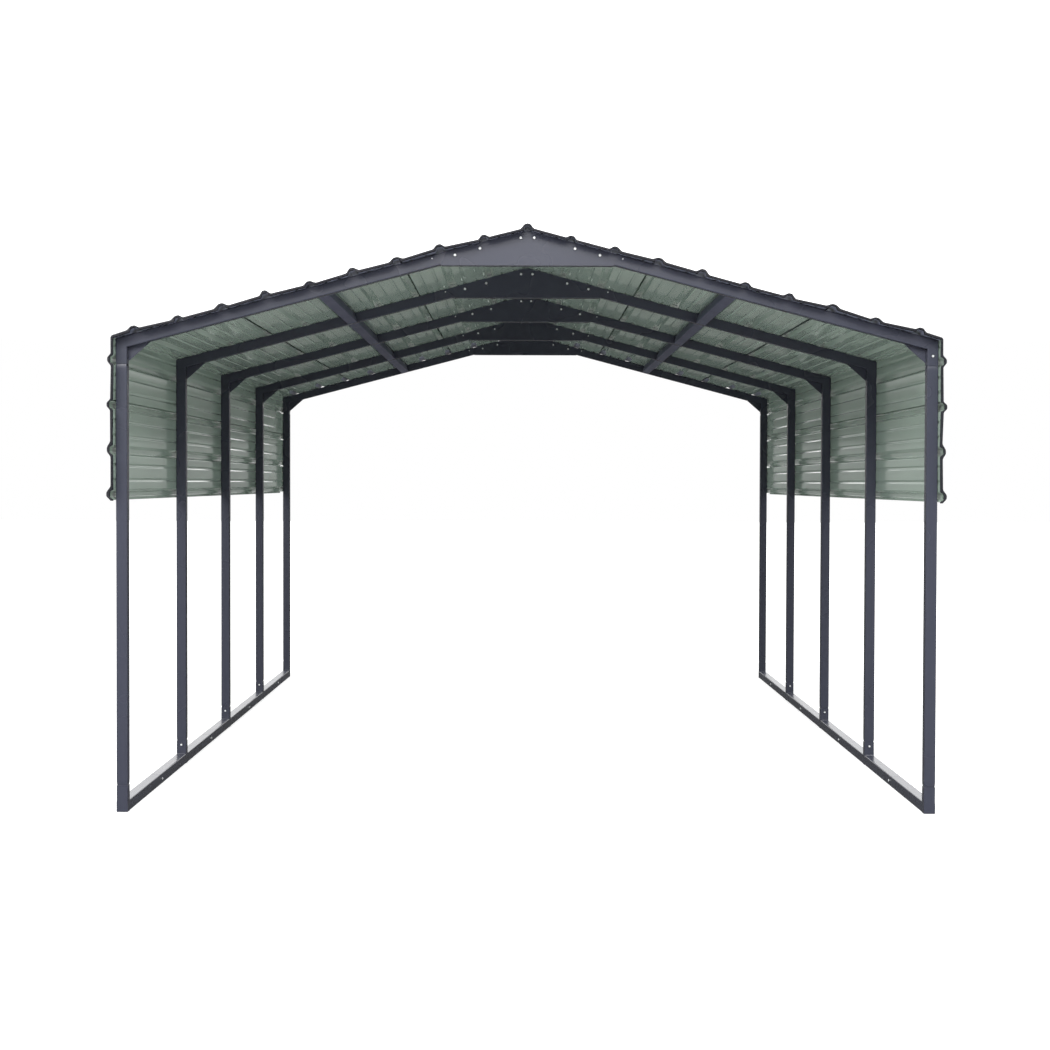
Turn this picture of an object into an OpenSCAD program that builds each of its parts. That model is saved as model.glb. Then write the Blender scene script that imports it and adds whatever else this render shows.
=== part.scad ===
// Open steel carport. Square tube frames stand on two ground rails and carry ribbed steel sheets over the
// roof and the upper sides. The ends are open and face -Y and +Y. The part is centred on X and Y and stands
// on z = 0. Lengths are in millimetres and angles in degrees.

/* [Frame] */
// Width over the outer faces of the legs
frame_w = 3660; // [2800:10:4200]
// Length over the outer faces of the two end frames
frame_l = 5950; // [4200:10:7200]
// Height of the rafter's top edge at the outer face of the leg
eave_h = 2114; // [1800:1:2600]
// Slope of the roof
roof_slope = 14.8; // [10:0.1:20]
// Height of the joint between a leg and its ground stub
stub_h = 119; // [90:1:200]
// Height from the eave down to the joint between a leg and its rafter
knee_drop = 112; // [100:1:180]
// Distance from the centre of the roof to a purlin's centre line
purlin_x = 915; // [600:5:1200]

/* [Tube] */
// Outside size of the square tube
tube = 50; // [45:1:60]
// Wall of the square tube
tube_wall = 2; // [1.6:0.1:2.5]
// Outside corner radius of the square tube
tube_r = 4; // [3:0.5:6]
// Length of a joint's sleeve inside the tube that it slips into
sleeve_l = 70; // [40:1:90]
// Clearance between a sleeve and the tube that slips over it
slip = 0.3; // [0.2:0.05:0.6]
// Gap that shows between the ends of two tubes at a joint
joint_gap = 2.5; // [1:0.5:5]

/* [Ridge brackets and knee gussets] */
// Half width of a ridge bracket
bracket_hw = 385; // [250:5:480]
// Thickness of the bracket plate
bracket_t = 3; // [2:0.5:5]
// Width of the flat on the peak of a ridge bracket and its rafters
peak_flat = 28; // [10:1:40]
// Reach of a knee gusset along the rafter, measured level
gusset_reach = 98; // [60:1:140]
// Drop of a knee gusset down the leg
gusset_drop = 60; // [35:1:75]
// Thickness of a knee gusset
gusset_t = 3; // [2:0.5:5]
// Set-back of a knee gusset from the rear face of its frame
gusset_inset = 6; // [5:0.5:20]

/* [Sheets] */
// Overhang of the sheets past each end frame
overhang = 75; // [40:1:200]
// Thickness of a sheet
sheet_t = 1; // [0.6:0.1:1.2]
// Spacing of the main ribs
rib_pitch = 199; // [160:1:240]
// Width of a main rib at its base
rib_base = 46; // [36:1:56]
// Width of a main rib at its top
rib_top = 20; // [14:1:26]
// Height of a main rib
rib_h = 15; // [10:0.5:20]
// Width of a small rib at its base
small_base = 16; // [10:1:22]
// Width of a small rib at its top
small_top = 6; // [4:1:8]
// Height of a small rib
small_h = 3.5; // [2:0.5:6]
// Inside radius of the fold at the eave
fold_r = 6; // [4:0.5:6.5]
// Main ribs on each side below the eave
side_ribs = 4; // [3:1:5]
// Clearance between two sheets where they lap
lap_gap = 0.3; // [0.2:0.05:0.6]

/* [Edge trim] */
// Width of the trim along the sheet
trim_w = 14; // [10:1:24]
// Wall of the trim
trim_wall = 2; // [1.5:0.1:2.5]
// Clearance between the trim and the sheet that it grips
trim_gap = 0.3; // [0.2:0.05:0.5]
// Length over which the trim runs out from a main rib on to the flat
trim_ease = 14; // [8:1:16]

/* [Hidden] */
$fn = 48;

frame_paint = "#53555f";
sheet_paint = "#76837c";
trim_black = "#2b2f32";

// Frames are numbered from the front, 0 to frames - 1
frames = 5;
bay = (frame_l - tube) / (frames - 1);
leg_x = frame_w / 2 - tube / 2;
bore = tube - 2 * tube_wall;
bore_r = tube_r - tube_wall;
apex_z = eave_h + frame_w / 2 * tan(roof_slope);
peak_z = apex_z - peak_flat / 2 * tan(roof_slope);
rafter_drop = tube / cos(roof_slope);
knee_z = eave_h - knee_drop;
// Inner corner of the knee, where the rafter's underside meets the leg
inner_x = frame_w / 2 - tube;
inner_z = eave_h + tube * tan(roof_slope) - rafter_drop;
slope_l = frame_w / 2 / cos(roof_slope);
fold_turn = 90 - roof_slope;
fold_tangent = fold_r * tan(fold_turn / 2);
fold_steps = 6;
// Room for the cutting blocks beyond the tubes that they trim
spare = 2 * tube;
// Length by which a cut runs past the face that it opens
past = 1;

function frame_y(i) = -frame_l / 2 + i * bay;
function rafter_top(x) = apex_z - abs(x) * tan(roof_slope);

// Square tubes

// Square with its corners rounded in three flats each, so that mitred tubes meet along straight edges
module tube_outline(size, r) {
    square([size - 2 * r, size], center = true);
    square([size, size - 2 * r], center = true);
    for (x = [-1, 1], y = [-1, 1])
        translate([x * (size / 2 - r), y * (size / 2 - r)]) circle(r, $fn = 12);
}

module bar(size, r, len) {
    linear_extrude(len) tube_outline(size, r);
}

// Hollow tube from z = 0 up
module tube_bar(len) {
    difference() {
        bar(tube, tube_r, len);
        translate([0, 0, -past]) bar(bore, bore_r, len + 2 * past);
    }
}

// Joint sleeve: its root fills the tube below z = 0, and the rest slips into the tube above
sleeve_root = sleeve_l / 2;

module sleeve_outside() {
    translate([0, 0, -sleeve_root]) bar(bore, bore_r, sleeve_root);
    bar(bore - 2 * slip, bore_r, sleeve_l);
}

module sleeve_inside() {
    translate([0, 0, -sleeve_root - past])
        linear_extrude(sleeve_root + sleeve_l + 2 * past)
            square(bore - 2 * slip - 2 * tube_wall, center = true);
}

module sleeve() {
    difference() {
        sleeve_outside();
        sleeve_inside();
    }
}

// Turns a bar so that it runs along +Y
module along_y() {
    rotate([-90, 0, 0]) children();
}

// Extrudes a front view outline along Y from y1 to y2
module run_along(y1, y2) {
    translate([0, y2, 0]) rotate([90, 0, 0]) linear_extrude(y2 - y1) children();
}

// Ground rails, built on the right side

// Start and end of rail segment i: the joints between segments lie in the middle of the bays
function rail_start(i) = i == 0 ? frame_y(0) : frame_y(i) + tube / 2 - bay / 2 + joint_gap;
function rail_end(i) = i == frames - 1 ? frame_y(i) + tube : frame_y(i) + tube / 2 + bay / 2;

module base(i) {
    rail_l = rail_end(i) - rail_start(i);
    front_cap = i == 0 ? tube_wall : -past;
    rear_cap = i == frames - 1 ? tube_wall : -past;
    stub_floor = i == 0 || i == frames - 1 ? tube_wall : tube / 2;
    difference() {
        union() {
            translate([leg_x, rail_start(i), tube / 2]) along_y() bar(tube, tube_r, rail_l);
            translate([leg_x, frame_y(i) + tube / 2, 0]) bar(tube, tube_r, stub_h);
        }
        translate([leg_x, rail_start(i) + front_cap, tube / 2])
            along_y() bar(bore, bore_r, rail_l - front_cap - rear_cap);
        translate([leg_x, frame_y(i) + tube / 2, stub_floor]) bar(bore, bore_r, stub_h);
    }
    translate([leg_x, frame_y(i) + tube / 2, stub_h]) sleeve();
    if (i < frames - 1)
        translate([leg_x, rail_end(i), tube / 2]) along_y() sleeve();
}

// Legs, built on the right side

module leg(i) {
    translate([leg_x, frame_y(i) + tube / 2, stub_h + joint_gap])
        tube_bar(knee_z - stub_h - 2 * joint_gap);
}

// Rafters, built on the right side with a short leg stub at the eave

// Outline of a tube that is rounded towards +x only and runs on behind that face for length reach
module face_outline(size, r, reach) {
    tube_outline(size, r);
    translate([-reach, -size / 2]) square([reach, size]);
}

// Extrudes an outline along the rafter's centre line, with its +x side down
module on_rafter(i) {
    translate([0, frame_y(i) + tube / 2, apex_z - rafter_drop / 2])
        rotate([0, 90 + roof_slope, 0])
            translate([0, 0, -spare]) linear_extrude(slope_l + 2 * spare) children();
}

// Extrudes an outline up the leg's centre line from height z, with its +x side outwards
module on_leg(i, z) {
    translate([leg_x, frame_y(i) + tube / 2, z]) linear_extrude(apex_z) children();
}

// Solid elbow of a rafter and its leg stub, from height z up and from length reach inside the leg's centre
// line. Each bar is trimmed behind the outer face of the other.
module elbow(i, size, r, z, reach) {
    intersection() {
        on_rafter(i) tube_outline(size, r);
        on_leg(i, z) face_outline(size, r, reach);
    }
    intersection() {
        on_rafter(i) mirror([1, 0]) face_outline(size, r, reach);
        on_leg(i, z) tube_outline(size, r);
    }
}

// Turns a sleeve down into the top of leg i
module at_knee(i) {
    translate([leg_x, frame_y(i) + tube / 2, knee_z]) mirror([0, 0, 1]) children();
}

// Everything outside the rounded eave corner, so that the sheet's fold lies on the knee
module eave_corner(i) {
    corner = [frame_w / 2, eave_h];
    top_end = corner + fold_tangent * [-cos(roof_slope), sin(roof_slope)];
    side_end = corner - [0, fold_tangent];
    centre = top_end - fold_r * [sin(roof_slope), cos(roof_slope)];
    outside = [top_end, top_end + [spare, spare], side_end + [spare, 0], side_end, centre];
    run_along(frame_y(i) - past, frame_y(i) + tube + past) difference() {
        polygon(outside);
        translate(centre) circle(fold_r);
    }
}

module rafter(i) {
    difference() {
        union() {
            elbow(i, tube, tube_r, knee_z, leg_x);
            at_knee(i) sleeve_outside();
        }
        elbow(i, bore, bore_r, knee_z + sleeve_root, leg_x + past);
        at_knee(i) sleeve_inside();
        eave_corner(i);
        translate([-spare, frame_y(i) - past, peak_z]) cube([2 * spare, tube + 2 * past, spare]);
    }
}

// Ridge brackets: a folded plate under and on both faces of each pair of rafters

module ridge_bracket(i) {
    fold_z = rafter_top(bracket_hw) - rafter_drop;
    plate = [
        [-bracket_hw, fold_z - bracket_t],
        [bracket_hw, fold_z - bracket_t],
        [bracket_hw, rafter_top(bracket_hw)],
        [peak_flat / 2, peak_z],
        [-peak_flat / 2, peak_z],
        [-bracket_hw, rafter_top(bracket_hw)],
    ];
    for (y = [frame_y(i) - bracket_t, frame_y(i) + tube])
        run_along(y, y + bracket_t) polygon(plate);
    translate([-bracket_hw, frame_y(i) - bracket_t, fold_z - bracket_t])
        cube([2 * bracket_hw, tube + 2 * bracket_t, bracket_t]);
}

// Knee gussets, built on the right side

module knee_gusset(i) {
    outline = [
        [inner_x, inner_z],
        [inner_x - gusset_reach, inner_z + gusset_reach * tan(roof_slope)],
        [inner_x, inner_z - gusset_drop],
    ];
    rear = frame_y(i) + tube - gusset_inset;
    run_along(rear - gusset_t, rear) polygon(outline);
}

// Purlins, built on the right side: one length in each bay, butted between the rafters

module purlin(i) {
    translate([purlin_x, frame_y(i) + tube, rafter_top(purlin_x) - rafter_drop / 2])
        rotate([0, roof_slope, 0]) along_y() tube_bar(bay - tube);
}

// Sheet profile
//
// A sheet is drawn on its developed width, where s runs from the ridge down the slope, over the eave fold
// and down the side, and h is the height off the tubes. wrap() takes such a point to the front view.

fold_start = slope_l - fold_tangent;
fold_l = fold_r * fold_turn * PI / 180;
fold_end = fold_start + fold_l;

function wrap(s, h) =
    s <= fold_start ? [s * cos(roof_slope) + h * sin(roof_slope),
                       apex_z - s * sin(roof_slope) + h * cos(roof_slope)] :
    s >= fold_end ? [frame_w / 2 + h, eave_h - fold_tangent - (s - fold_end)] :
    let (turn = roof_slope + (s - fold_start) / fold_l * fold_turn)
    wrap(fold_start, -fold_r) + (fold_r + h) * [sin(turn), cos(turn)];

// Main ribs keep clear of the fold by half a rib and the length of a small rib
fold_clear = rib_base / 2 + small_base;
slope_ribs = floor((slope_l - fold_clear) / rib_pitch);
first_side_rib = max((slope_ribs + 1) * rib_pitch, slope_l + fold_clear);
last_rib = slope_ribs + side_ribs;
function rib_s(k) = k <= slope_ribs ? k * rib_pitch : first_side_rib + (k - slope_ribs - 1) * rib_pitch;

// Ribs at which one sheet laps over the next, counted from the ridge
slope_lap = slope_ribs - 2;
ridge_lap = floor(slope_lap / 2);
side_lap = last_rib - 2;
function is_lap(k) = k == ridge_lap || k == slope_lap || k == side_lap;

// Points of a surface that lies g off the inner face of a rib and pan off the inner face beside it.
// half is -1 for the flank towards the ridge and 1 for the flank towards the eave.
function flank(c, base, top, high, g, pan, half) =
    let (run = (base - top) / 2)
    let (k = tan(atan2(high, run) / 2))
    let (foot = [c + half * (base / 2 + g * k + (g - pan) * run / high), pan])
    let (edge = [c + half * (top / 2 + g * k), high + g])
    half < 0 ? [foot, edge] : [edge, foot];

function main_flank(k, g, pan, half) = flank(rib_s(k), rib_base, rib_top, rib_h, g, pan, half);
function main_rib(k, g, pan) = concat(main_flank(k, g, pan, -1), main_flank(k, g, pan, 1));

function small_flank(s, g, half) = flank(s, small_base, small_top, small_h, g, g, half);
function small_rib(s, g) = concat(small_flank(s, g, -1), small_flank(s, g, 1));

function fold_points(g) =
    [for (n = [0 : fold_steps]) [fold_start + n / fold_steps * fold_l, g]];

// The pan between main ribs k and k + 1, with two small ribs. One pan has the eave fold, and a small rib
// there only where the fold leaves room for it.
function pan_face(k, g) =
    let (a = rib_s(k) + rib_pitch / 3)
    let (b = rib_s(k + 1) - rib_pitch / 3)
    k == slope_ribs
        ? concat(a + small_base < fold_start ? small_rib(a, g) : [], fold_points(g),
                 b - small_base > fold_end ? small_rib(b, g) : [])
        : concat(small_rib(a, g), small_rib(b, g));

// Pans and ribs from the pan after rib k1 to the pan before rib k2; lift raises the surface over laps
function run_of_ribs(k1, k2, g, lift) =
    [for (k = [k1 : k2 - 1]) each concat(
        pan_face(k, g),
        k + 1 < k2 ? main_rib(k + 1, is_lap(k + 1) ? g + lift : g, g) : [])];

function wrap_all(points) = [for (p = points) wrap(p[0], p[1])];
function mirrored(points) = [for (n = [len(points) - 1 : -1 : 0]) [-points[n][0], points[n][1]]];
function reversed(points) = [for (n = [len(points) - 1 : -1 : 0]) points[n]];
function mid(p, q) = (p + q) / 2;

// Upper end of a sheet, under the rib of the sheet above: it stops half way up the far flank
function under_lap(k, g) =
    let (up = main_flank(k, g, g, -1))
    concat([mid(up[0], up[1]), up[1]], main_flank(k, g, g, 1));

// Lower end of a sheet, over the rib of the sheet below: it stops just off that sheet's pan
function over_lap(k, g) =
    let (raise = g + sheet_t + lap_gap)
    let (slant = atan2(rib_h, (rib_base - rib_top) / 2))
    let (down = main_flank(k, sheet_t + lap_gap, sheet_t + lap_gap, 1))
    concat(main_flank(k, raise, g, -1), [main_flank(k, raise, raise, 1)[0]],
           [down[1] + g * [sin(slant), cos(slant)]]);

// Lowest rib, where the side ends at the rib's foot
function end_rib(k, g) = concat(main_flank(k, g, g, -1), main_flank(k, g, 0, 1));

// Peak of the rib on the ridge, whose top is bent along the two slopes
function ridge_peak(g) = [[0, apex_z + (rib_h + g) / cos(roof_slope)]];

// Surface g off the inner face of a sheet between lap ribs k1 and k2
function sheet_face(k1, k2, g) =
    wrap_all(concat(under_lap(k1, g), run_of_ribs(k1, k2, g, 0),
                    k2 == last_rib ? end_rib(k2, g) : over_lap(k2, g)));

function ridge_face(g) =
    let (points = concat(main_flank(0, g, g, 1), run_of_ribs(0, ridge_lap, g, 0), over_lap(ridge_lap, g)))
    let (half = wrap_all(points))
    concat(mirrored(half), ridge_peak(g), half);

// Surface g off the inner face of all the sheets together; lift raises it over laps
function whole_face(g, lift) =
    let (points = concat(main_flank(0, g, g, 1), run_of_ribs(0, last_rib, g, lift), end_rib(last_rib, g)))
    let (half = wrap_all(points))
    concat(mirrored(half), ridge_peak(g), half);

roof_l = frame_l + 2 * overhang;
sheet_y = roof_l / 2 - trim_wall - trim_gap;

module ridge_profile_sheet() {
    run_along(-sheet_y, sheet_y) polygon(concat(ridge_face(0), reversed(ridge_face(sheet_t))));
}

module side_profile_sheet(k1, k2) {
    run_along(-sheet_y, sheet_y)
        polygon(concat(sheet_face(k1, k2, 0), reversed(sheet_face(k1, k2, sheet_t))));
}

// Edge trim: a soft strip that runs over the ribs in smooth waves and grips the sheets' front edge in a slot

trim_low = -trim_gap;
trim_high = sheet_t + trim_gap;
lap_lift = sheet_t + lap_gap;
wave_steps = 5;

// Points of a wave over rib k: high over its middle, level there for length flat on either side, and run out
// to nothing at length run
function wave(k, flat, run, high, level) =
    [for (side = [-1, 1], n = [0 : wave_steps])
        let (t = side < 0 ? 1 - n / wave_steps : n / wave_steps)
        [rib_s(k) + side * (flat + t * (run - flat)), level + high * (1 + cos(180 * t)) / 2]];

// A face of the strip: waves over the ribs on a level face, cut off past the end of the side sheets
function wavy_face(flat, run, high, level) =
    let (sheet_end = end_rib(last_rib, trim_high)[3][0] + trim_wall)
    let (points = [for (k = [0 : last_rib]) each concat(
        wave(k, flat, run, high, level), k == slope_ribs ? fold_points(level) : [])])
    let (kept = [for (p = points) if (p[0] > 0 && p[0] < sheet_end) p])
    let (half = wrap_all(concat(kept, [[sheet_end, level]])))
    concat(mirrored(half), [[0, apex_z + (level + high) / cos(roof_slope)]], half);

module edge_trim() {
    top_level = small_h + trim_high + trim_wall;
    top_wave = rib_h + lap_lift - small_h;
    outer = wavy_face(rib_top / 2, rib_base / 2 + trim_ease, top_wave, top_level);
    inner = wavy_face(rib_top / 4, rib_base / 2, rib_h, trim_low - trim_wall);
    difference() {
        run_along(-roof_l / 2, -roof_l / 2 + trim_w) polygon(concat(inner, reversed(outer)));
        run_along(-roof_l / 2 + trim_wall, -roof_l / 2 + trim_w + past)
            polygon(concat(whole_face(trim_low, 0), reversed(whole_face(trim_high, lap_lift))));
    }
}

// Named sub-parts

module left() {
    mirror([1, 0, 0]) children();
}

module left_base(i) { color(frame_paint) left() base(i); }
module right_base(i) { color(frame_paint) base(i); }
module left_leg(i) { color(frame_paint) left() leg(i); }
module right_leg(i) { color(frame_paint) leg(i); }
module left_rafter(i) { color(frame_paint) left() rafter(i); }
module right_rafter(i) { color(frame_paint) rafter(i); }
module ridge_brackets() { color(frame_paint) for (i = [0 : frames - 1]) ridge_bracket(i); }
module left_knee_gussets() { color(frame_paint) left() for (i = [0 : frames - 1]) knee_gusset(i); }
module right_knee_gussets() { color(frame_paint) for (i = [0 : frames - 1]) knee_gusset(i); }
module left_purlins() { color(frame_paint) left() for (i = [0 : frames - 2]) purlin(i); }
module right_purlins() { color(frame_paint) for (i = [0 : frames - 2]) purlin(i); }
module ridge_sheet() { color(sheet_paint) ridge_profile_sheet(); }
module left_slope_sheet() { color(sheet_paint) left() side_profile_sheet(ridge_lap, slope_lap); }
module right_slope_sheet() { color(sheet_paint) side_profile_sheet(ridge_lap, slope_lap); }
module left_eave_sheet() { color(sheet_paint) left() side_profile_sheet(slope_lap, side_lap); }
module right_eave_sheet() { color(sheet_paint) side_profile_sheet(slope_lap, side_lap); }
module left_side_sheet() { color(sheet_paint) left() side_profile_sheet(side_lap, last_rib); }
module right_side_sheet() { color(sheet_paint) side_profile_sheet(side_lap, last_rib); }
module front_edge_trim() { color(trim_black) edge_trim(); }
module rear_edge_trim() { color(trim_black) mirror([0, 1, 0]) edge_trim(); }

for (i = [0 : frames - 1]) {
    left_base(i);
    right_base(i);
    left_leg(i);
    right_leg(i);
    left_rafter(i);
    right_rafter(i);
}
ridge_brackets();
left_knee_gussets();
right_knee_gussets();
left_purlins();
right_purlins();
ridge_sheet();
left_slope_sheet();
right_slope_sheet();
left_eave_sheet();
right_eave_sheet();
left_side_sheet();
right_side_sheet();
front_edge_trim();
rear_edge_trim();
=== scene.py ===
"""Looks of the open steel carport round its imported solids. Lengths are in metres, angles in radians."""

import math

import bmesh
import bpy
from mathutils import Matrix, Vector, noise


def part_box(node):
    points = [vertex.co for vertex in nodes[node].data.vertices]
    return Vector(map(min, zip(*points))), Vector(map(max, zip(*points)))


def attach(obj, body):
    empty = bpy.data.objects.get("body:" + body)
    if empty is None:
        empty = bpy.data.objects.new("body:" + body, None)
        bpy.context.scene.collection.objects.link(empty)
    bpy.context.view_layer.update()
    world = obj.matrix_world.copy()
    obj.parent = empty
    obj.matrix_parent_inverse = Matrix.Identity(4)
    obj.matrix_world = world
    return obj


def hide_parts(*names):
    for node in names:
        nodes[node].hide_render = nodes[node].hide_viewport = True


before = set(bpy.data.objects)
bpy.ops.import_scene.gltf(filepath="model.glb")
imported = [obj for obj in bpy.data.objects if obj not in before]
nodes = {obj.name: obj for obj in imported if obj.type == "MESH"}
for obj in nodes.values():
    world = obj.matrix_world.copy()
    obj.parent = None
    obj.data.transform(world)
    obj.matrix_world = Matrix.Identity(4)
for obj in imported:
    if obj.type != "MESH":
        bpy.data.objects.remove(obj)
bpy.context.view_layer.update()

MM = 0.001

# Tube frames, as the solids have them

FRAMES = range(1, 6)
leg_low, leg_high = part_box("right_leg_1")
TUBE = leg_high.x - leg_low.x
HALF_WIDTH = leg_high.x
LEG_X = (leg_low.x + leg_high.x) / 2
LEG_TOP = leg_high.z
FRAME_FRONTS = [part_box(f"right_leg_{n}")[0].y for n in FRAMES]
FRAME_MIDS = [front + TUBE / 2 for front in FRAME_FRONTS]
BAY = FRAME_FRONTS[1] - FRAME_FRONTS[0]
RAIL_JOINTS = [mid + BAY / 2 for mid in FRAME_MIDS[:-1]]
SLOPE = math.radians(14.8)
EAVE = 2114 * MM
APEX = EAVE + HALF_WIDTH * math.tan(SLOPE)
RAFTER_DROP = TUBE / math.cos(SLOPE)
BRACKET_T = FRAME_FRONTS[0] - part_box("ridge_brackets")[0].y
TUBE_WALL = 2 * MM
TUBE_R = 4 * MM
# Legs start this much higher than the solids do, so that the joints at the stubs show
LEG_LIFT = 2.5 * MM
# Tube ends are drawn in a little: how far, and over which length
LEG_END = (1.2 * MM, 20 * MM)
PURLIN_END = (1.2 * MM, 8 * MM)
END_STEPS = 4

# Ribbed sheets: a rib is given by its width at the base, its width at the top and its height

sheet_low, sheet_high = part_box("ridge_sheet")
SHEET_T = 1 * MM
LAP_GAP = 0.3 * MM
LAP_SLIT = 6 * MM
RIB_PITCH = 199 * MM
MAIN_RIB = (46 * MM, 20 * MM, 15 * MM)
SMALL_RIB = (16 * MM, 6 * MM, 3.5 * MM)
FOLD_R = 6 * MM
FOLD_STEPS = 6
# Main ribs, counted from the ridge: those that two sheets share, the last above the eave and the very last
RIDGE_LAP = 3
SLOPE_LAP = 7
LAST_SLOPE_RIB = 9
SIDE_LAP = 11
LAST_RIB = 13
# Bends that turn more than this are rounded
SHARP_BEND = math.radians(20)
BEND_R = 2 * MM
SHEET_CUTS = 47
# Sheets buckle between the frames and bow off the end frames: how far, and how long such a form is
BUCKLE = 0.8 * MM
BUCKLE_LENGTH = 420 * MM
END_BOW = 14 * MM
END_BOW_LENGTH = 260 * MM
# How far the painted shade on the sheets' backs reaches in under the main ribs from the end frames
END_SHADE_REACH = 250 * MM
# How strongly a sheet's large faces set the shading of the bends beside them
FLAT_WEIGHT = 80

# Edge strip: its width along the sheet, its wall and its clearance, and how much further it stands off the
# sheet inside and outside. A wave over a main rib is given by half the flat on top, half the width at the
# base and the height. Outer waves vary from rib to rib by chance, in width and height, by up to these shares.

strip_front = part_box("front_edge_trim")[0].y
strip_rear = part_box("rear_edge_trim")[1].y
STRIP_W = 14 * MM
STRIP_WALL = 2 * MM
STRIP_GAP = 0.3 * MM
STRIP_LIP = 2 * MM
STRIP_OVER = 2 * MM
OUTER_WAVE = (4 * MM, 34 * MM, 15 * MM)
INNER_WAVE = (10 * MM, 23 * MM, 15 * MM)
WAVE_STEPS = 8
WAVE_SPREAD = 0.4
WAVE_RISE = 0.3
# Where the noise is read for those chances: step from rib to rib, start and row; and a layer for each half
SPREAD_STEP, SPREAD_START, SPREAD_ROW = 0.7, 0.3, 0.4
RISE_STEP, RISE_START, RISE_ROW = 1.7, 0.6, 2.3
LEFT_LAYER, RIGHT_LAYER = 0.3, 0.7
# The strip's edges that turn more than this are rounded
STRIP_RIM = math.radians(60)
STRIP_ROUND = 1.8 * MM
# How far the strip hangs slack, and how long such a form is
STRIP_SLACK = 2.6 * MM
STRIP_SLACK_LENGTH = 75 * MM
# The slack's chance values start from a fixed seed, so that each run gives the same strip
SLACK_SEED = 1
noise.seed_set(SLACK_SEED)

SLOPE_LENGTH = HALF_WIDTH / math.cos(SLOPE)
FOLD_TURN = math.pi / 2 - SLOPE
FOLD_TANGENT = FOLD_R * math.tan(FOLD_TURN / 2)
FOLD_START = SLOPE_LENGTH - FOLD_TANGENT
FOLD_LENGTH = FOLD_R * FOLD_TURN
FOLD_END = FOLD_START + FOLD_LENGTH


def slope_point(s, h):
    """Front view place on the slope: s down from the ridge, h off the tubes."""
    down = Vector((math.cos(SLOPE), -math.sin(SLOPE)))
    out = Vector((math.sin(SLOPE), math.cos(SLOPE)))
    return Vector((0, APEX)) + s * down + h * out


def wrap(s, h):
    """Front view place of a point on the developed sheet, over the eave fold and down the side."""
    if s <= FOLD_START:
        return slope_point(s, h)
    if s >= FOLD_END:
        return Vector((HALF_WIDTH + h, EAVE - FOLD_TANGENT - (s - FOLD_END)))
    turn = SLOPE + (s - FOLD_START) / FOLD_LENGTH * FOLD_TURN
    return slope_point(FOLD_START, -FOLD_R) + (FOLD_R + h) * Vector((math.sin(turn), math.cos(turn)))


def mirrored(points):
    """Front view points carried over to the other side of the ridge."""
    return [Vector((-p.x, p.y)) for p in points]


def flank(centre, rib, lift, side):
    """Foot and top edge of a rib's flank on the sheet's outer face, lift off the rib's inner face."""
    base, top, high = rib
    run = (base - top) / 2
    grow = lift * math.tan(math.atan2(high, run) / 2)
    foot = (centre + side * (base / 2 + grow + (lift - SHEET_T) * run / high), SHEET_T)
    edge = (centre + side * (top / 2 + grow), high + lift)
    return [foot, edge] if side < 0 else [edge, foot]


def whole_rib(centre, rib):
    """Both flanks of a rib."""
    return flank(centre, rib, SHEET_T, -1) + flank(centre, rib, SHEET_T, 1)


def small_ribs(k):
    """Centres of the two small ribs below main rib k, without one that would meet the eave fold."""
    centres = [(k + third / 3) * RIB_PITCH for third in (1, 2)]
    return [c for c in centres if not FOLD_START - SMALL_RIB[0] < c < FOLD_END + SMALL_RIB[0]]


def fold_points(h):
    """Points round the eave fold at height h."""
    return [(FOLD_START + n / FOLD_STEPS * FOLD_LENGTH, h) for n in range(FOLD_STEPS + 1)]


def pan_ribs(k):
    """The small ribs of the pan below main rib k, and the eave fold where that pan has it."""
    points = [p for c in small_ribs(k) for p in whole_rib(c, SMALL_RIB)]
    if k == LAST_SLOPE_RIB:
        points += fold_points(SHEET_T)
    return sorted(points)


def under_lap(k):
    """Upper end of a sheet, whose steep last leg leaves a slit open beside the sheet above."""
    foot, edge = flank(k * RIB_PITCH, MAIN_RIB, SHEET_T, -1)
    return [(foot[0] + LAP_SLIT, foot[1]), edge] + flank(k * RIB_PITCH, MAIN_RIB, SHEET_T, 1)


def over_lap(k):
    """Lower end of a sheet, which lies over the rib of the sheet below and stops just off its pan."""
    lift = 2 * SHEET_T + LAP_GAP
    edge, foot = flank(k * RIB_PITCH, MAIN_RIB, lift, 1)
    near = flank(k * RIB_PITCH, MAIN_RIB, lift, -1)
    reach = 1 - (SHEET_T + LAP_GAP) / (edge[1] - foot[1])
    end = (edge[0] + reach * (foot[0] - edge[0]), edge[1] + reach * (foot[1] - edge[1]))
    return near + [edge, end]


def middle(first, last):
    """Pans and ribs between two main ribs."""
    points = pan_ribs(first)
    for k in range(first + 1, last):
        points += whole_rib(k * RIB_PITCH, MAIN_RIB) + pan_ribs(k)
    return points


def side_outline(first, last):
    """Outer face of a right-hand sheet between two main ribs, in the front view."""
    end = whole_rib(last * RIB_PITCH, MAIN_RIB) if last == LAST_RIB else over_lap(last)
    return [wrap(s, h) for s, h in under_lap(first) + middle(first, last) + end]


def ridge_outline():
    """Outer face of the ridge sheet, whose middle rib is bent over the ridge."""
    half = flank(0, MAIN_RIB, SHEET_T, 1) + middle(0, RIDGE_LAP) + over_lap(RIDGE_LAP)
    right = [wrap(s, h) for s, h in half]
    peak = Vector((0, APEX + (MAIN_RIB[2] + SHEET_T) / math.cos(SLOPE)))
    return mirrored(reversed(right)) + [peak] + right


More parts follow.
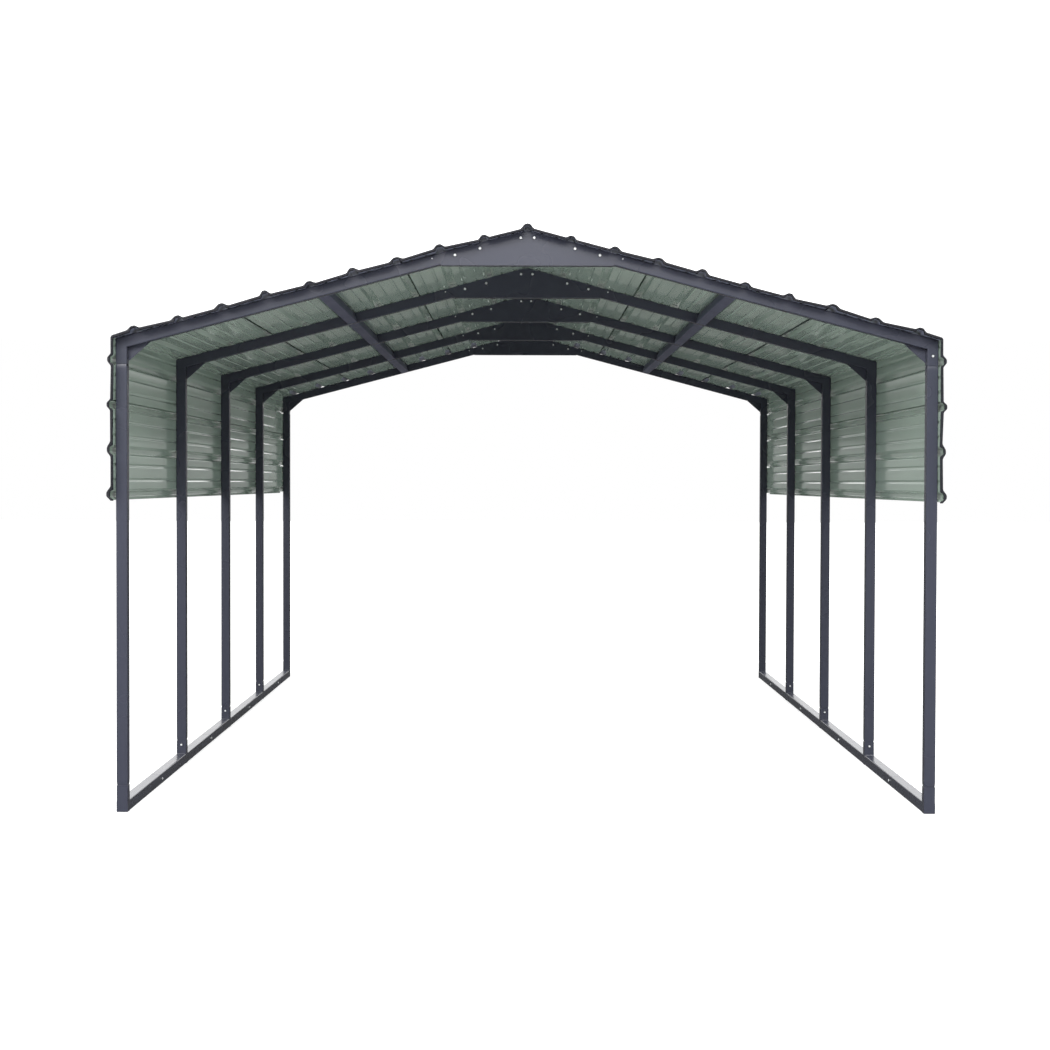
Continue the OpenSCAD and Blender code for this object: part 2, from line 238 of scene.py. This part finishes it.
def wave(k, shape, level, spread, layer):
    """Rounded wave of the edge strip over main rib k; where it has a spread, chance varies its form."""
    flat, run, high = shape
    if spread:
        high *= 1 + WAVE_RISE * noise.noise(Vector((RISE_STEP * k + RISE_START, RISE_ROW, layer)))
    points = []
    for side in (-1, 1):
        chance = noise.noise(Vector((SPREAD_STEP * k + SPREAD_START, SPREAD_ROW * side, layer)))
        reach = run * (1 + spread * chance)
        for n in range(WAVE_STEPS + 1):
            t = n / WAVE_STEPS
            rise = high * (1 + math.cos(math.pi * t)) / 2
            points.append((k * RIB_PITCH + side * (flat + t * (reach - flat)), level + rise))
    return points


def strip_half(shape, level, spread, layer):
    """Right half of one face of the edge strip in the front view, level off the tubes between its waves."""
    sheet_end = LAST_RIB * RIB_PITCH + MAIN_RIB[0] / 2 + 2 * STRIP_WALL
    points = fold_points(level)
    for k in range(LAST_RIB + 1):
        points += wave(k, shape, level, spread, layer)
    return [wrap(s, h) for s, h in sorted(points) if 0 < s < sheet_end] + [wrap(sheet_end, level)]


def strip_face(shape, level, spread):
    """One face of the edge strip in the front view, from the left side over the ridge to the right."""
    left = mirrored(reversed(strip_half(shape, level, spread, LEFT_LAYER)))
    peak = Vector((0, APEX + (level + shape[2]) / math.cos(SLOPE)))
    return left + [peak] + strip_half(shape, level, spread, RIGHT_LAYER)


# Materials


def colour(hex_code):
    """Linear colour of an sRGB hex value."""
    parts = [int(hex_code[n:n + 2], 16) / 255 for n in (1, 3, 5)]
    return [p / 12.92 if p <= 0.04045 else ((p + 0.055) / 1.055) ** 2.4 for p in parts] + [1]


def add(tree, kind, inputs=None, **settings):
    """Adds a node with its settings; an input is a value, or the output of another node to link."""
    node = tree.nodes.new(kind)
    for name, value in settings.items():
        setattr(node, name, value)
    for name, value in (inputs or {}).items():
        if isinstance(value, bpy.types.NodeSocket):
            tree.links.new(value, node.inputs[name])
        else:
            node.inputs[name].default_value = value
    return node


def new_material(name):
    """A material with an empty node tree."""
    material = bpy.data.materials.new(name)
    material.use_nodes = True
    material.node_tree.nodes.clear()
    return material


def per_metre(size_mm):
    """Texture scale that draws features of that size."""
    return 1000 / size_mm


# Sockets of a colour Mix node
MIX_A, MIX_B, MIX_OUT = 6, 7, 2
# Octaves of the noises, and the part of their range that clouds fill
NOISE_DETAIL = 2
CLOUD_LOW, CLOUD_HIGH = 0.3, 0.7
# How a pattern is scaled along each axis: on rolled sheet it is drawn out along the roof into faint streaks
EVEN = (1, 1, 1)
ROLLED = (1, 0.06, 1)
STREAKED = (1, 0.15, 1)


def surface(name, dark, light, gloss, cloud_mm, grain_mm, depth_mm, stretch=EVEN, **shader_inputs):
    """Finish in two close tones: clouds of them, gloss that follows the clouds, and a fine raised grain.
    gloss is the roughness in the dark and in the light tone."""
    material = new_material(name)
    tree = material.node_tree
    place = add(tree, "ShaderNodeTexCoord").outputs["Object"]
    along = add(tree, "ShaderNodeMapping", {"Vector": place, "Scale": stretch}).outputs["Vector"]
    cloud = add(tree, "ShaderNodeTexNoise",
                {"Vector": along, "Scale": per_metre(cloud_mm), "Detail": NOISE_DETAIL}).outputs["Fac"]
    tone = add(tree, "ShaderNodeMix", {0: cloud, MIX_A: colour(dark), MIX_B: colour(light)}, data_type="RGBA")
    sheen = add(tree, "ShaderNodeMapRange",
                {"Value": cloud, "From Min": CLOUD_LOW, "From Max": CLOUD_HIGH,
                 "To Min": gloss[0], "To Max": gloss[1]}, interpolation_type="SMOOTHSTEP")
    grain = add(tree, "ShaderNodeTexNoise",
                {"Vector": along, "Scale": per_metre(grain_mm), "Detail": NOISE_DETAIL}).outputs["Fac"]
    skin = add(tree, "ShaderNodeBump", {"Height": grain, "Distance": depth_mm * MM})
    shader = add(tree, "ShaderNodeBsdfPrincipled",
                 {"Base Color": tone.outputs[MIX_OUT], "Roughness": sheen.outputs["Result"],
                  "Normal": skin.outputs["Normal"], **shader_inputs})
    add(tree, "ShaderNodeOutputMaterial", {"Surface": shader.outputs["BSDF"]})
    return material


# Powder-coated steel tube: sprayed dry and baked, so it has a satin gloss and a fine orange-peel skin.
# The skin's real 2 mm dimples are drawn at 9 mm so that they show.
powder_coat = surface("powder_coated_steel", "#2f313c", "#353742", gloss=(0.28, 0.26),
                      cloud_mm=320, grain_mm=9, depth_mm=0.05)

# The frames' powder coat, drawn matt and paler on the purlins alone: painted light, a copy of the one coat
# set to how light falls on them
purlin_shade_coat = surface("purlin_coat_painted_light", "#44465a", "#4a4c60", gloss=(0.75, 0.65),
                   cloud_mm=320, grain_mm=9, depth_mm=0.03)

# Coil-coated steel sheet, inside: a thin grey-green back coat, rolled on and glossy. Its light and dark
# streaks along the roof are partly the coat's own tone and partly painted reflection of the sheet's slight
# waves.
# Its 70 mm grain is the slight unevenness of thin sheet.
back_coat = surface("coil_coated_sheet_inside", "#7f8e84", "#98a99d", gloss=(0.11, 0.08),
                    cloud_mm=150, grain_mm=70, depth_mm=0.03, stretch=STREAKED, IOR=1.45)

# Coil-coated steel sheet, outside: matt charcoal polyester paint, which mirrors little even at low angles.
# Roller marks a few millimetres wide are drawn at 25 mm so that they show.
top_coat = surface("coil_coated_sheet_outside", "#3a3d42", "#42464b", gloss=(0.75, 0.65),
                   cloud_mm=60, grain_mm=25, depth_mm=0.04, stretch=ROLLED, IOR=1.25)

# Backs of the roof sheets' ends: the back coat turned a dull blue-grey, painted shade under the overhang and
# in the ribs' hollows
end_shade_coat = surface("sheet_end_painted_shade", "#666a7a", "#737787", gloss=(0.4, 0.3),
                   cloud_mm=60, grain_mm=25, depth_mm=0.03, stretch=ROLLED)

# Extruded black rubber edge strip: dull, a little greyer where it has chalked
edge_rubber = surface("extruded_rubber", "#14151a", "#1c1d23", gloss=(0.6, 0.48),
                      cloud_mm=45, grain_mm=4, depth_mm=0.05, stretch=ROLLED, IOR=1.3)

# Zinc-plated steel bolts: pale, half-matt plate, slightly mottled and only partly mirroring
zinc_plate = surface("zinc_plated_steel", "#ced0d2", "#dcdee0", gloss=(0.42, 0.3),
                     cloud_mm=6, grain_mm=2, depth_mm=0.02, Metallic=0.3)

# Roofing screw heads: half-matt charcoal paint like the sheets'
screw_paint = surface("painted_screw_heads", "#3c3f44", "#474b50", gloss=(0.4, 0.3),
                      cloud_mm=6, grain_mm=2, depth_mm=0.02)

# Rubber washers under bolts, nuts and roofing screws: dull black rings
washer_rubber = surface("washer_rubber", "#17181a", "#202224", gloss=(0.7, 0.6),
                        cloud_mm=6, grain_mm=2, depth_mm=0.02)


# Pieces


def make_piece(name, bm, materials):
    """Turns a bmesh into a piece that rides on the carport's one body."""
    mesh = bpy.data.meshes.new(name)
    bm.to_mesh(mesh)
    bm.free()
    piece = bpy.data.objects.new(name, mesh)
    bpy.context.collection.objects.link(piece)
    for material in materials:
        mesh.materials.append(material)
    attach(piece, "root")
    return piece


def verts_of(geom):
    """The vertices among what an operator gives back."""
    return [g for g in geom if isinstance(g, bmesh.types.BMVert)]


def round_edges(bm, edges, radius, segments, clamp=False):
    """Rounds edges, or breaks them with one segment."""
    bmesh.ops.bevel(bm, geom=edges, offset=radius, affect="EDGES", segments=segments, profile=0.5,
                    material=-1, clamp_overlap=clamp)


def slackness(y):
    """How free a sheet is to buckle at length y: not at all on a frame, wholly in the middle of a bay."""
    if not FRAME_MIDS[0] < y < FRAME_MIDS[-1]:
        return 0
    return math.sin((y - FRAME_MIDS[0]) / BAY * math.pi) ** 2


def bow(point):
    """How far a sheet's free end beyond the end frames has bowed off the frame at a point."""
    reach = (abs(point.y) - FRAME_MIDS[-1]) / (sheet_high.y - FRAME_MIDS[-1])
    if reach <= 0:
        return Vector()
    if point.z < EAVE:
        out = Vector((math.copysign(1, point.x), 0, 0))
    else:
        out = Vector((math.copysign(math.sin(SLOPE), point.x), 0, math.cos(SLOPE)))
    spread = noise.noise(Vector((point.x, math.copysign(1, point.y), point.z)) / END_BOW_LENGTH)
    return out * END_BOW * min(reach, 1) ** 2 * max(spread, 0)


def in_painted_end_shade(face):
    """Whether a face's back takes the painted shade at a roof end: out past the end frames, and further in
    under ribs.
    """
    at = face.calc_center_median()
    height = (at.z - APEX) * math.cos(SLOPE) + abs(at.x) * math.sin(SLOPE)
    reach = END_SHADE_REACH if height > SMALL_RIB[2] + 2 * SHEET_T else 0
    return at.z > EAVE and abs(at.y) > FRAME_FRONTS[-1] - reach


# A sheet's materials, each outside followed by its back, where the second back is painted shade, and the
# places of the two outsides in that list
SHEET_COATS = [top_coat, back_coat, top_coat, end_shade_coat]
PLAIN, END_SHADED = 0, 2


def sheet_piece(node, outline):
    """Ribbed sheet: its outline drawn along the roof, with rounded bends, slight buckles and a thickness."""
    bm = bmesh.new()
    row = [bm.verts.new((p.x, sheet_low.y, p.y)) for p in outline]
    edges = [bm.edges.new(pair) for pair in zip(row, row[1:])]
    far = verts_of(bmesh.ops.extrude_edge_only(bm, edges=edges)["geom"])
    bmesh.ops.translate(bm, verts=far, vec=(0, sheet_high.y - sheet_low.y, 0))
    bmesh.ops.recalc_face_normals(bm, faces=bm.faces)
    if max(bm.faces, key=lambda f: f.calc_area()).normal.z < 0:
        bmesh.ops.reverse_faces(bm, faces=bm.faces)
    bends = [e for e in bm.edges if len(e.link_faces) == 2 and e.calc_face_angle() > SHARP_BEND]
    round_edges(bm, bends, BEND_R, 2, clamp=True)
    lengths = [e for e in bm.edges if abs(e.verts[0].co.y - e.verts[1].co.y) > BAY]
    bmesh.ops.subdivide_edges(bm, edges=lengths, cuts=SHEET_CUTS, use_grid_fill=True)
    bm.normal_update()
    for v in bm.verts:
        v.co += bow(v.co) + v.normal * BUCKLE * slackness(v.co.y) * noise.noise(v.co / BUCKLE_LENGTH)
    for f in bm.faces:
        f.smooth = True
        # Faces at the roof's ends carry painted shade on their backs
        f.material_index = END_SHADED if in_painted_end_shade(f) else PLAIN
    piece = make_piece(node + "_ribbed", bm, SHEET_COATS)
    wall = piece.modifiers.new("wall", "SOLIDIFY")
    wall.thickness = SHEET_T
    wall.offset = -1
    wall.use_even_offset = True
    wall.material_offset = 1
    shading = piece.modifiers.new("shading", "WEIGHTED_NORMAL")
    shading.weight = FLAT_WEIGHT
    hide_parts(node)


sheet_piece("ridge_sheet", ridge_outline())
for sheet, first, last in (("slope_sheet", RIDGE_LAP, SLOPE_LAP), ("eave_sheet", SLOPE_LAP, SIDE_LAP),
                           ("side_sheet", SIDE_LAP, LAST_RIB)):
    right = side_outline(first, last)
    sheet_piece("right_" + sheet, right)
    sheet_piece("left_" + sheet, mirrored(right))


def edge_strip(node, y, width):
    """Soft strip on the sheets' end edges, from y inwards: it waves over the ribs and hangs a bit slack."""
    outer = strip_face(OUTER_WAVE, SHEET_T + STRIP_GAP + STRIP_WALL + STRIP_OVER, WAVE_SPREAD)
    inner = strip_face(INNER_WAVE, -STRIP_GAP - STRIP_WALL - STRIP_LIP, 0)
    bm = bmesh.new()
    wires = []
    for face in (outer, inner):
        row = [bm.verts.new((p.x, y, p.y)) for p in face]
        wires += [bm.edges.new(pair) for pair in zip(row, row[1:])]
    bmesh.ops.bridge_loops(bm, edges=wires)
    far = verts_of(bmesh.ops.extrude_face_region(bm, geom=bm.faces[:])["geom"])
    bmesh.ops.translate(bm, verts=far, vec=(0, width, 0))
    for v in bm.verts:
        v.co += bow(v.co) + STRIP_SLACK * noise.noise_vector(v.co / STRIP_SLACK_LENGTH)
    bmesh.ops.recalc_face_normals(bm, faces=bm.faces)
    rims = [e for e in bm.edges if e.calc_face_angle(0) > STRIP_RIM]
    round_edges(bm, rims, STRIP_ROUND, 3, clamp=True)
    for f in bm.faces:
        f.smooth = True
    piece = make_piece(node + "_strip", bm, [edge_rubber])
    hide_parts(node)


edge_strip("front_edge_trim", strip_front, STRIP_W)
edge_strip("rear_edge_trim", strip_rear, -STRIP_W)


# Tubes with drawn-in ends

# Edges that turn more than this stay sharp
SHARP_RIM = math.radians(50)


def square_tube(length, end):
    """Square tube up from the origin, whose ends are drawn in on the outside."""
    inset, reach = end
    steps = [n / END_STEPS for n in range(END_STEPS + 1)]
    lower = [(TUBE / 2 - inset * (1 - t) ** 2, t * reach) for t in steps]
    upper = [(half, length - z) for half, z in reversed(lower)]
    bore = TUBE / 2 - TUBE_WALL
    bm = bmesh.new()
    wall = [bm.verts.new((half, half, z)) for half, z in lower + upper + [(bore, length), (bore, 0)]]
    loop = [bm.edges.new(pair) for pair in zip(wall, wall[1:] + wall[:1])]
    bmesh.ops.spin(bm, geom=wall + loop, axis=(0, 0, 1), cent=(0, 0, 0), angle=2 * math.pi, steps=4,
                   use_merge=True)
    bmesh.ops.recalc_face_normals(bm, faces=bm.faces)
    # The outer corners are the edges that run lengthwise and lie clear of the bore
    clear = bore + TUBE_WALL / 8
    corners = [e for e in bm.edges if abs(e.verts[0].co.z - e.verts[1].co.z) > inset
               and abs(e.verts[0].co.x) > clear]
    round_edges(bm, corners, TUBE_R, 3)
    return bm


def tube_piece(node, bm, material):
    """Turns drawn tubes into the piece that stands for a node."""
    for f in bm.faces:
        f.smooth = True
    for e in bm.edges:
        e.smooth = e.calc_face_angle(0) < SHARP_RIM
    piece = make_piece(node + "_tube", bm, [material])
    shading = piece.modifiers.new("shading", "WEIGHTED_NORMAL")
    shading.keep_sharp = True
    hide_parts(node)


for number, mid in zip(FRAMES, FRAME_MIDS):
    for hand, x in (("left", -LEG_X), ("right", LEG_X)):
        leg = square_tube(LEG_TOP - leg_low.z - LEG_LIFT, LEG_END)
        bmesh.ops.translate(leg, verts=leg.verts, vec=(x, mid, leg_low.z + LEG_LIFT))
        tube_piece(f"{hand}_leg_{number}", leg, powder_coat)

for hand, side in (("left", -1), ("right", 1)):
    low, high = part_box(f"{hand}_purlins")
    place = Matrix.Translation(((low.x + high.x) / 2, low.y, (low.z + high.z) / 2))
    turn = Matrix.Rotation(side * SLOPE, 4, "Y") @ Matrix.Rotation(-math.pi / 2, 4, "X")
    purlins = square_tube(BAY - TUBE, PURLIN_END)
    bmesh.ops.transform(purlins, matrix=place @ turn, verts=purlins.verts)
    first = purlins.verts[:] + purlins.edges[:] + purlins.faces[:]
    for bay in range(1, len(FRAMES) - 1):
        copy = verts_of(bmesh.ops.duplicate(purlins, geom=first)["geom"])
        bmesh.ops.translate(purlins, verts=copy, vec=(0, bay * BAY, 0))
    # The purlins take the painted-light copy of the powder coat
    tube_piece(f"{hand}_purlins", purlins, purlin_shade_coat)


# Fasteners and welds

FRONT, REAR = (0, -1, 0), (0, 1, 0)
# Sides of six-sided and of round blocks
HEX = 6
BOLT_ROUND = 8
SCREW_WASHER_ROUND = 10
BOLT_WASHER_ROUND = 12
# Share of a block's thickness by which its outer edge is broken
EDGE_BREAK = 0.25
# Places in a fastener's list of materials
METAL, RUBBER = 0, 1
WASHER_R, WASHER_T = 8 * MM, 1.6 * MM
HEAD_R, HEAD_T = 6.5 * MM, 5 * MM
NUT_T = 6.5 * MM
END_R, END_T = 4 * MM, 9 * MM
# Size of the bolts in the legs and rails against those in the ridge brackets
FRAME_BOLT = 0.85
BRACKET_BOLT_X = [side * x * MM for side in (-1, 1) for x in (30, 211, 322)]
KNEE_BOLT_Z = LEG_TOP + 45 * MM
STUB_BOLT_Z = 98 * MM
RAIL_BOLT_BEHIND = 40 * MM
BEAD_R = 5 * MM
BEAD_LENGTH = TUBE - 2 * BEAD_R
BEAD_SIDES = 8
BEAD_RIPPLES = 7
BEAD_SWELL = 0.12
SMALL_HEAD_R, SMALL_HEAD_T = 3.5 * MM, 2.5 * MM
RAFTER_SCREW_X = 424 * MM
RAFTER_SCREW_DOWN = 14 * MM
SCREW_BESIDE_RIB = 36 * MM
SCREW_WASHER_R, SCREW_WASHER_T = 8 * MM, 2 * MM
SCREW_HEAD_R, SCREW_HEAD_T = 4.6 * MM, 5 * MM


def on_face(point, out):
    """Matrix that stands a fastener at a point, with its Z axis out of the face."""
    return Matrix.Translation(point) @ Vector(out).to_track_quat("Z", "Y").to_matrix().to_4x4()


def block(bm, place, sides, radius, thick, base=0, material=METAL):
    """Short round or six-sided block, base off a face, with its outer edge broken."""
    centre = place @ Matrix.Translation((0, 0, base + thick / 2))
    verts = bmesh.ops.create_cone(bm, cap_ends=True, segments=sides, radius1=radius, radius2=radius,
                                  depth=thick, matrix=centre)["verts"]
    for f in {f for v in verts for f in v.link_faces}:
        f.material_index = material
    upper = {v for v in verts if (centre.inverted() @ v.co).z > 0}
    rim = [e for e in {e for v in upper for e in v.link_edges} if set(e.verts) <= upper]
    round_edges(bm, rim, EDGE_BREAK * thick, 1)


def bolt_head(bm, place, size=1):
    """Hexagon bolt head on its black washer."""
    block(bm, place, BOLT_WASHER_ROUND, size * WASHER_R, size * WASHER_T, material=RUBBER)
    block(bm, place, HEX, size * HEAD_R, size * HEAD_T, size * WASHER_T)


def bolt_nut(bm, place):
    """Nut on its black washer, with the end of the bolt standing out."""
    block(bm, place, BOLT_WASHER_ROUND, WASHER_R, WASHER_T, material=RUBBER)
    block(bm, place, HEX, HEAD_R, NUT_T, WASHER_T)
    block(bm, place, BOLT_ROUND, END_R, END_T, WASHER_T)


def weld_bead(bm, x, y):
    """Rippled weld bead across a rail's top, along the foot of a stub's front or rear face."""
    lying = Matrix.Translation((x, y, TUBE)) @ Matrix.Rotation(math.pi / 2, 4, "Y")
    verts = bmesh.ops.create_cone(bm, cap_ends=True, segments=BEAD_SIDES, radius1=BEAD_R, radius2=BEAD_R,
                                  depth=BEAD_LENGTH, matrix=lying)["verts"]
    edges = {e for v in verts for e in v.link_edges}
    lengths = [e for e in edges if abs(e.verts[0].co.x - e.verts[1].co.x) > TUBE / 2]
    cut = bmesh.ops.subdivide_edges(bm, edges=lengths, cuts=2 * BEAD_RIPPLES - 1)["geom_inner"]
    for v in verts_of(cut):
        along = (v.co.x - x) / BEAD_LENGTH + 0.5
        swell = 1 + BEAD_SWELL * math.cos(2 * math.pi * BEAD_RIPPLES * along)
        v.co.y = y + (v.co.y - y) * swell
        v.co.z = TUBE + (v.co.z - TUBE) * swell


# Ridge bracket bolts go right through, with the head in front and the nut behind
bolts = bmesh.new()
for front in FRAME_FRONTS:
    for x in BRACKET_BOLT_X:
        z = APEX - abs(x) * math.tan(SLOPE) - RAFTER_DROP / 2
        bolt_head(bolts, on_face((x, front - BRACKET_T, z), FRONT))
        bolt_nut(bolts, on_face((x, front + TUBE + BRACKET_T, z), REAR))
make_piece("ridge_bracket_bolts", bolts, [zinc_plate, washer_rubber])

# Only the first frame's right knee shows its bolt in front
bolts = bmesh.new()
for front in FRAME_FRONTS:
    face, out = (front, FRONT) if front == FRAME_FRONTS[0] else (front + TUBE, REAR)
    bolt_head(bolts, on_face((LEG_X, face, KNEE_BOLT_Z), out), FRAME_BOLT)
    bolt_head(bolts, on_face((-LEG_X, front + TUBE, KNEE_BOLT_Z), REAR), FRAME_BOLT)
make_piece("knee_bolts", bolts, [zinc_plate, washer_rubber])

# The end frames' stubs have their bolts behind, the others in front
bolts = bmesh.new()
for front in FRAME_FRONTS:
    at_end = front in (FRAME_FRONTS[0], FRAME_FRONTS[-1])
    face, out = (front + TUBE, REAR) if at_end else (front, FRONT)
    for x in (-LEG_X, LEG_X):
        bolt_head(bolts, on_face((x, face, STUB_BOLT_Z), out), FRAME_BOLT)
make_piece("stub_bolts", bolts, [zinc_plate, washer_rubber])

# Rail bolts sit on the rails' inner faces, just behind each slip joint
bolts = bmesh.new()
for joint in RAIL_JOINTS:
    for side in (-1, 1):
        spot = (side * (HALF_WIDTH - TUBE), joint + RAIL_BOLT_BEHIND, TUBE / 2)
        bolt_head(bolts, on_face(spot, (-side, 0, 0)), FRAME_BOLT)
make_piece("rail_bolts", bolts, [zinc_plate, washer_rubber])

# Stubs are welded in front and behind, except at the rails' very ends
welds = bmesh.new()
for front in FRAME_FRONTS:
    for x in (-LEG_X, LEG_X):
        for y in (front, front + TUBE):
            if FRAME_FRONTS[0] < y < FRAME_FRONTS[-1] + TUBE:
                weld_bead(welds, x, y)
make_piece("stub_welds", welds, [powder_coat])

# One small screw in the front of each rafter, beside the ridge bracket
screws = bmesh.new()
for front in FRAME_FRONTS:
    for x in (-RAFTER_SCREW_X, RAFTER_SCREW_X):
        z = APEX - abs(x) * math.tan(SLOPE) - RAFTER_SCREW_DOWN
        block(screws, on_face((x, front, z), FRONT), BOLT_ROUND, SMALL_HEAD_R, SMALL_HEAD_T)
make_piece("rafter_screws", screws, [zinc_plate])

# Roofing screws hold the sheets to each frame, one below each main rib but the last
screws = bmesh.new()
for y in FRAME_MIDS:
    for k in range(LAST_RIB):
        s = k * RIB_PITCH + SCREW_BESIDE_RIB
        spot = wrap(s, SHEET_T)
        out = wrap(s, 1) - wrap(s, 0)
        for side in (-1, 1):
            place = on_face((side * spot.x, y, spot.y), (side * out.x, 0, out.y))
            block(screws, place, SCREW_WASHER_ROUND, SCREW_WASHER_R, SCREW_WASHER_T, material=RUBBER)
            block(screws, place, HEX, SCREW_HEAD_R, SCREW_HEAD_T, SCREW_WASHER_T)
make_piece("roofing_screws", screws, [screw_paint, washer_rubber])

# Finishes of the solids that stay

for node in nodes.values():
    for slot in node.material_slots:
        slot.material = powder_coat

# Studio: a pale floor that is kept out of reflections, and surroundings that the camera sees white. To the
# carport they are dim up to a little over the horizon and bright above that, lower down behind than in front.

FLOOR_SIZE = 120
FLOOR_GLOW = 0.65
CEILING_LEAN = math.radians(5.5)
CEILING_START, CEILING_FULL = 0.14, 0.19
HORIZON_GLOW, CEILING_GLOW = 0.12, 1.95

floor_paint = new_material("matt_white_floor")
tree = floor_paint.node_tree
seen = add(tree, "ShaderNodeLightPath").outputs["Is Camera Ray"]
pale = add(tree, "ShaderNodeBsdfDiffuse", {"Color": colour("#c4c4c3")})
glow = add(tree, "ShaderNodeEmission", {"Strength": FLOOR_GLOW})
pale_glow = add(tree, "ShaderNodeAddShader", {0: pale.outputs["BSDF"], 1: glow.outputs["Emission"]})
ground = add(tree, "ShaderNodeBsdfDiffuse", {"Color": colour("#cacac9")})
both = add(tree, "ShaderNodeMixShader", {0: seen, 1: ground.outputs["BSDF"], 2: pale_glow.outputs["Shader"]})
add(tree, "ShaderNodeOutputMaterial", {"Surface": both.outputs["Shader"]})
floor_mesh = bmesh.new()
bmesh.ops.create_grid(floor_mesh, x_segments=1, y_segments=1, size=FLOOR_SIZE / 2)
mesh = bpy.data.meshes.new("studio_floor")
floor_mesh.to_mesh(mesh)
floor_mesh.free()
mesh.materials.append(floor_paint)
floor = bpy.data.objects.new("studio_floor", mesh)
bpy.context.collection.objects.link(floor)
floor.visible_glossy = False

world = bpy.data.worlds.new("studio")
world.use_nodes = True
tree = world.node_tree
tree.nodes.clear()
seen = add(tree, "ShaderNodeLightPath").outputs["Is Camera Ray"]
toward = add(tree, "ShaderNodeTexCoord").outputs["Generated"]
leaning = add(tree, "ShaderNodeMapping", {"Vector": toward, "Rotation": (CEILING_LEAN, 0, 0)})
up = add(tree, "ShaderNodeSeparateXYZ", {"Vector": leaning.outputs["Vector"]}).outputs["Z"]
ceiling = add(tree, "ShaderNodeMapRange", {"Value": up, "From Min": CEILING_START, "From Max": CEILING_FULL,
                                           "To Min": HORIZON_GLOW, "To Max": CEILING_GLOW}).outputs["Result"]
strength = add(tree, "ShaderNodeMath", {0: seen, 1: ceiling}, operation="MAXIMUM").outputs["Value"]
glow = add(tree, "ShaderNodeBackground", {"Color": colour("#ffffff"), "Strength": strength})
add(tree, "ShaderNodeOutputWorld", {"Surface": glow.outputs["Background"]})
bpy.context.scene.world = world


def soft_light(name, place, aim, width, height, watts):
    """Large rectangular light at a place, turned towards another."""
    light = bpy.data.lights.new(name, "AREA")
    light.shape = "RECTANGLE"
    light.size = width
    light.size_y = height
    light.energy = watts
    piece = bpy.data.objects.new(name, light)
    turn = (Vector(aim) - Vector(place)).to_track_quat("-Z", "Y").to_matrix().to_4x4()
    piece.matrix_world = Matrix.Translation(place) @ turn
    bpy.context.collection.objects.link(piece)
    return piece


# A large light high in front, a lower one that reflections don't show, and a faint wide one far behind
soft_light("key", (-2.5, -15, 8), (0, -2, 1.6), width=12, height=5, watts=2060)
soft_light("front", (-1, -15, 4), (0, -3, 2), width=8, height=2.4, watts=520).visible_glossy = False
soft_light("back", (0, 55, 1.7), (0, 0, 1.7), width=26, height=2.4, watts=45)

# Camera at the photograph's place, turned a little right and down and rolled a little anticlockwise

CAMERA_PLACE = Vector((-0.0202, -11.4268, 1.4777))
CAMERA_YAW = math.radians(-0.0846)
CAMERA_PITCH = math.radians(-1.2841)
CAMERA_ROLL = math.radians(0.1546)
camera = bpy.data.cameras.new("camera")
camera.lens = 65.05
camera.sensor_width = 36
camera.clip_end = 300
camera_object = bpy.data.objects.new("camera", camera)
camera_object.matrix_world = (Matrix.Translation(CAMERA_PLACE) @ Matrix.Rotation(CAMERA_YAW, 4, "Z")
                              @ Matrix.Rotation(math.pi / 2 + CAMERA_PITCH, 4, "X")
                              @ Matrix.Rotation(CAMERA_ROLL, 4, "Z"))
bpy.context.collection.objects.link(camera_object)
bpy.context.scene.camera = camera_object
bpy.context.scene.view_settings.view_transform = "Standard"

bpy.context.view_layer.update()
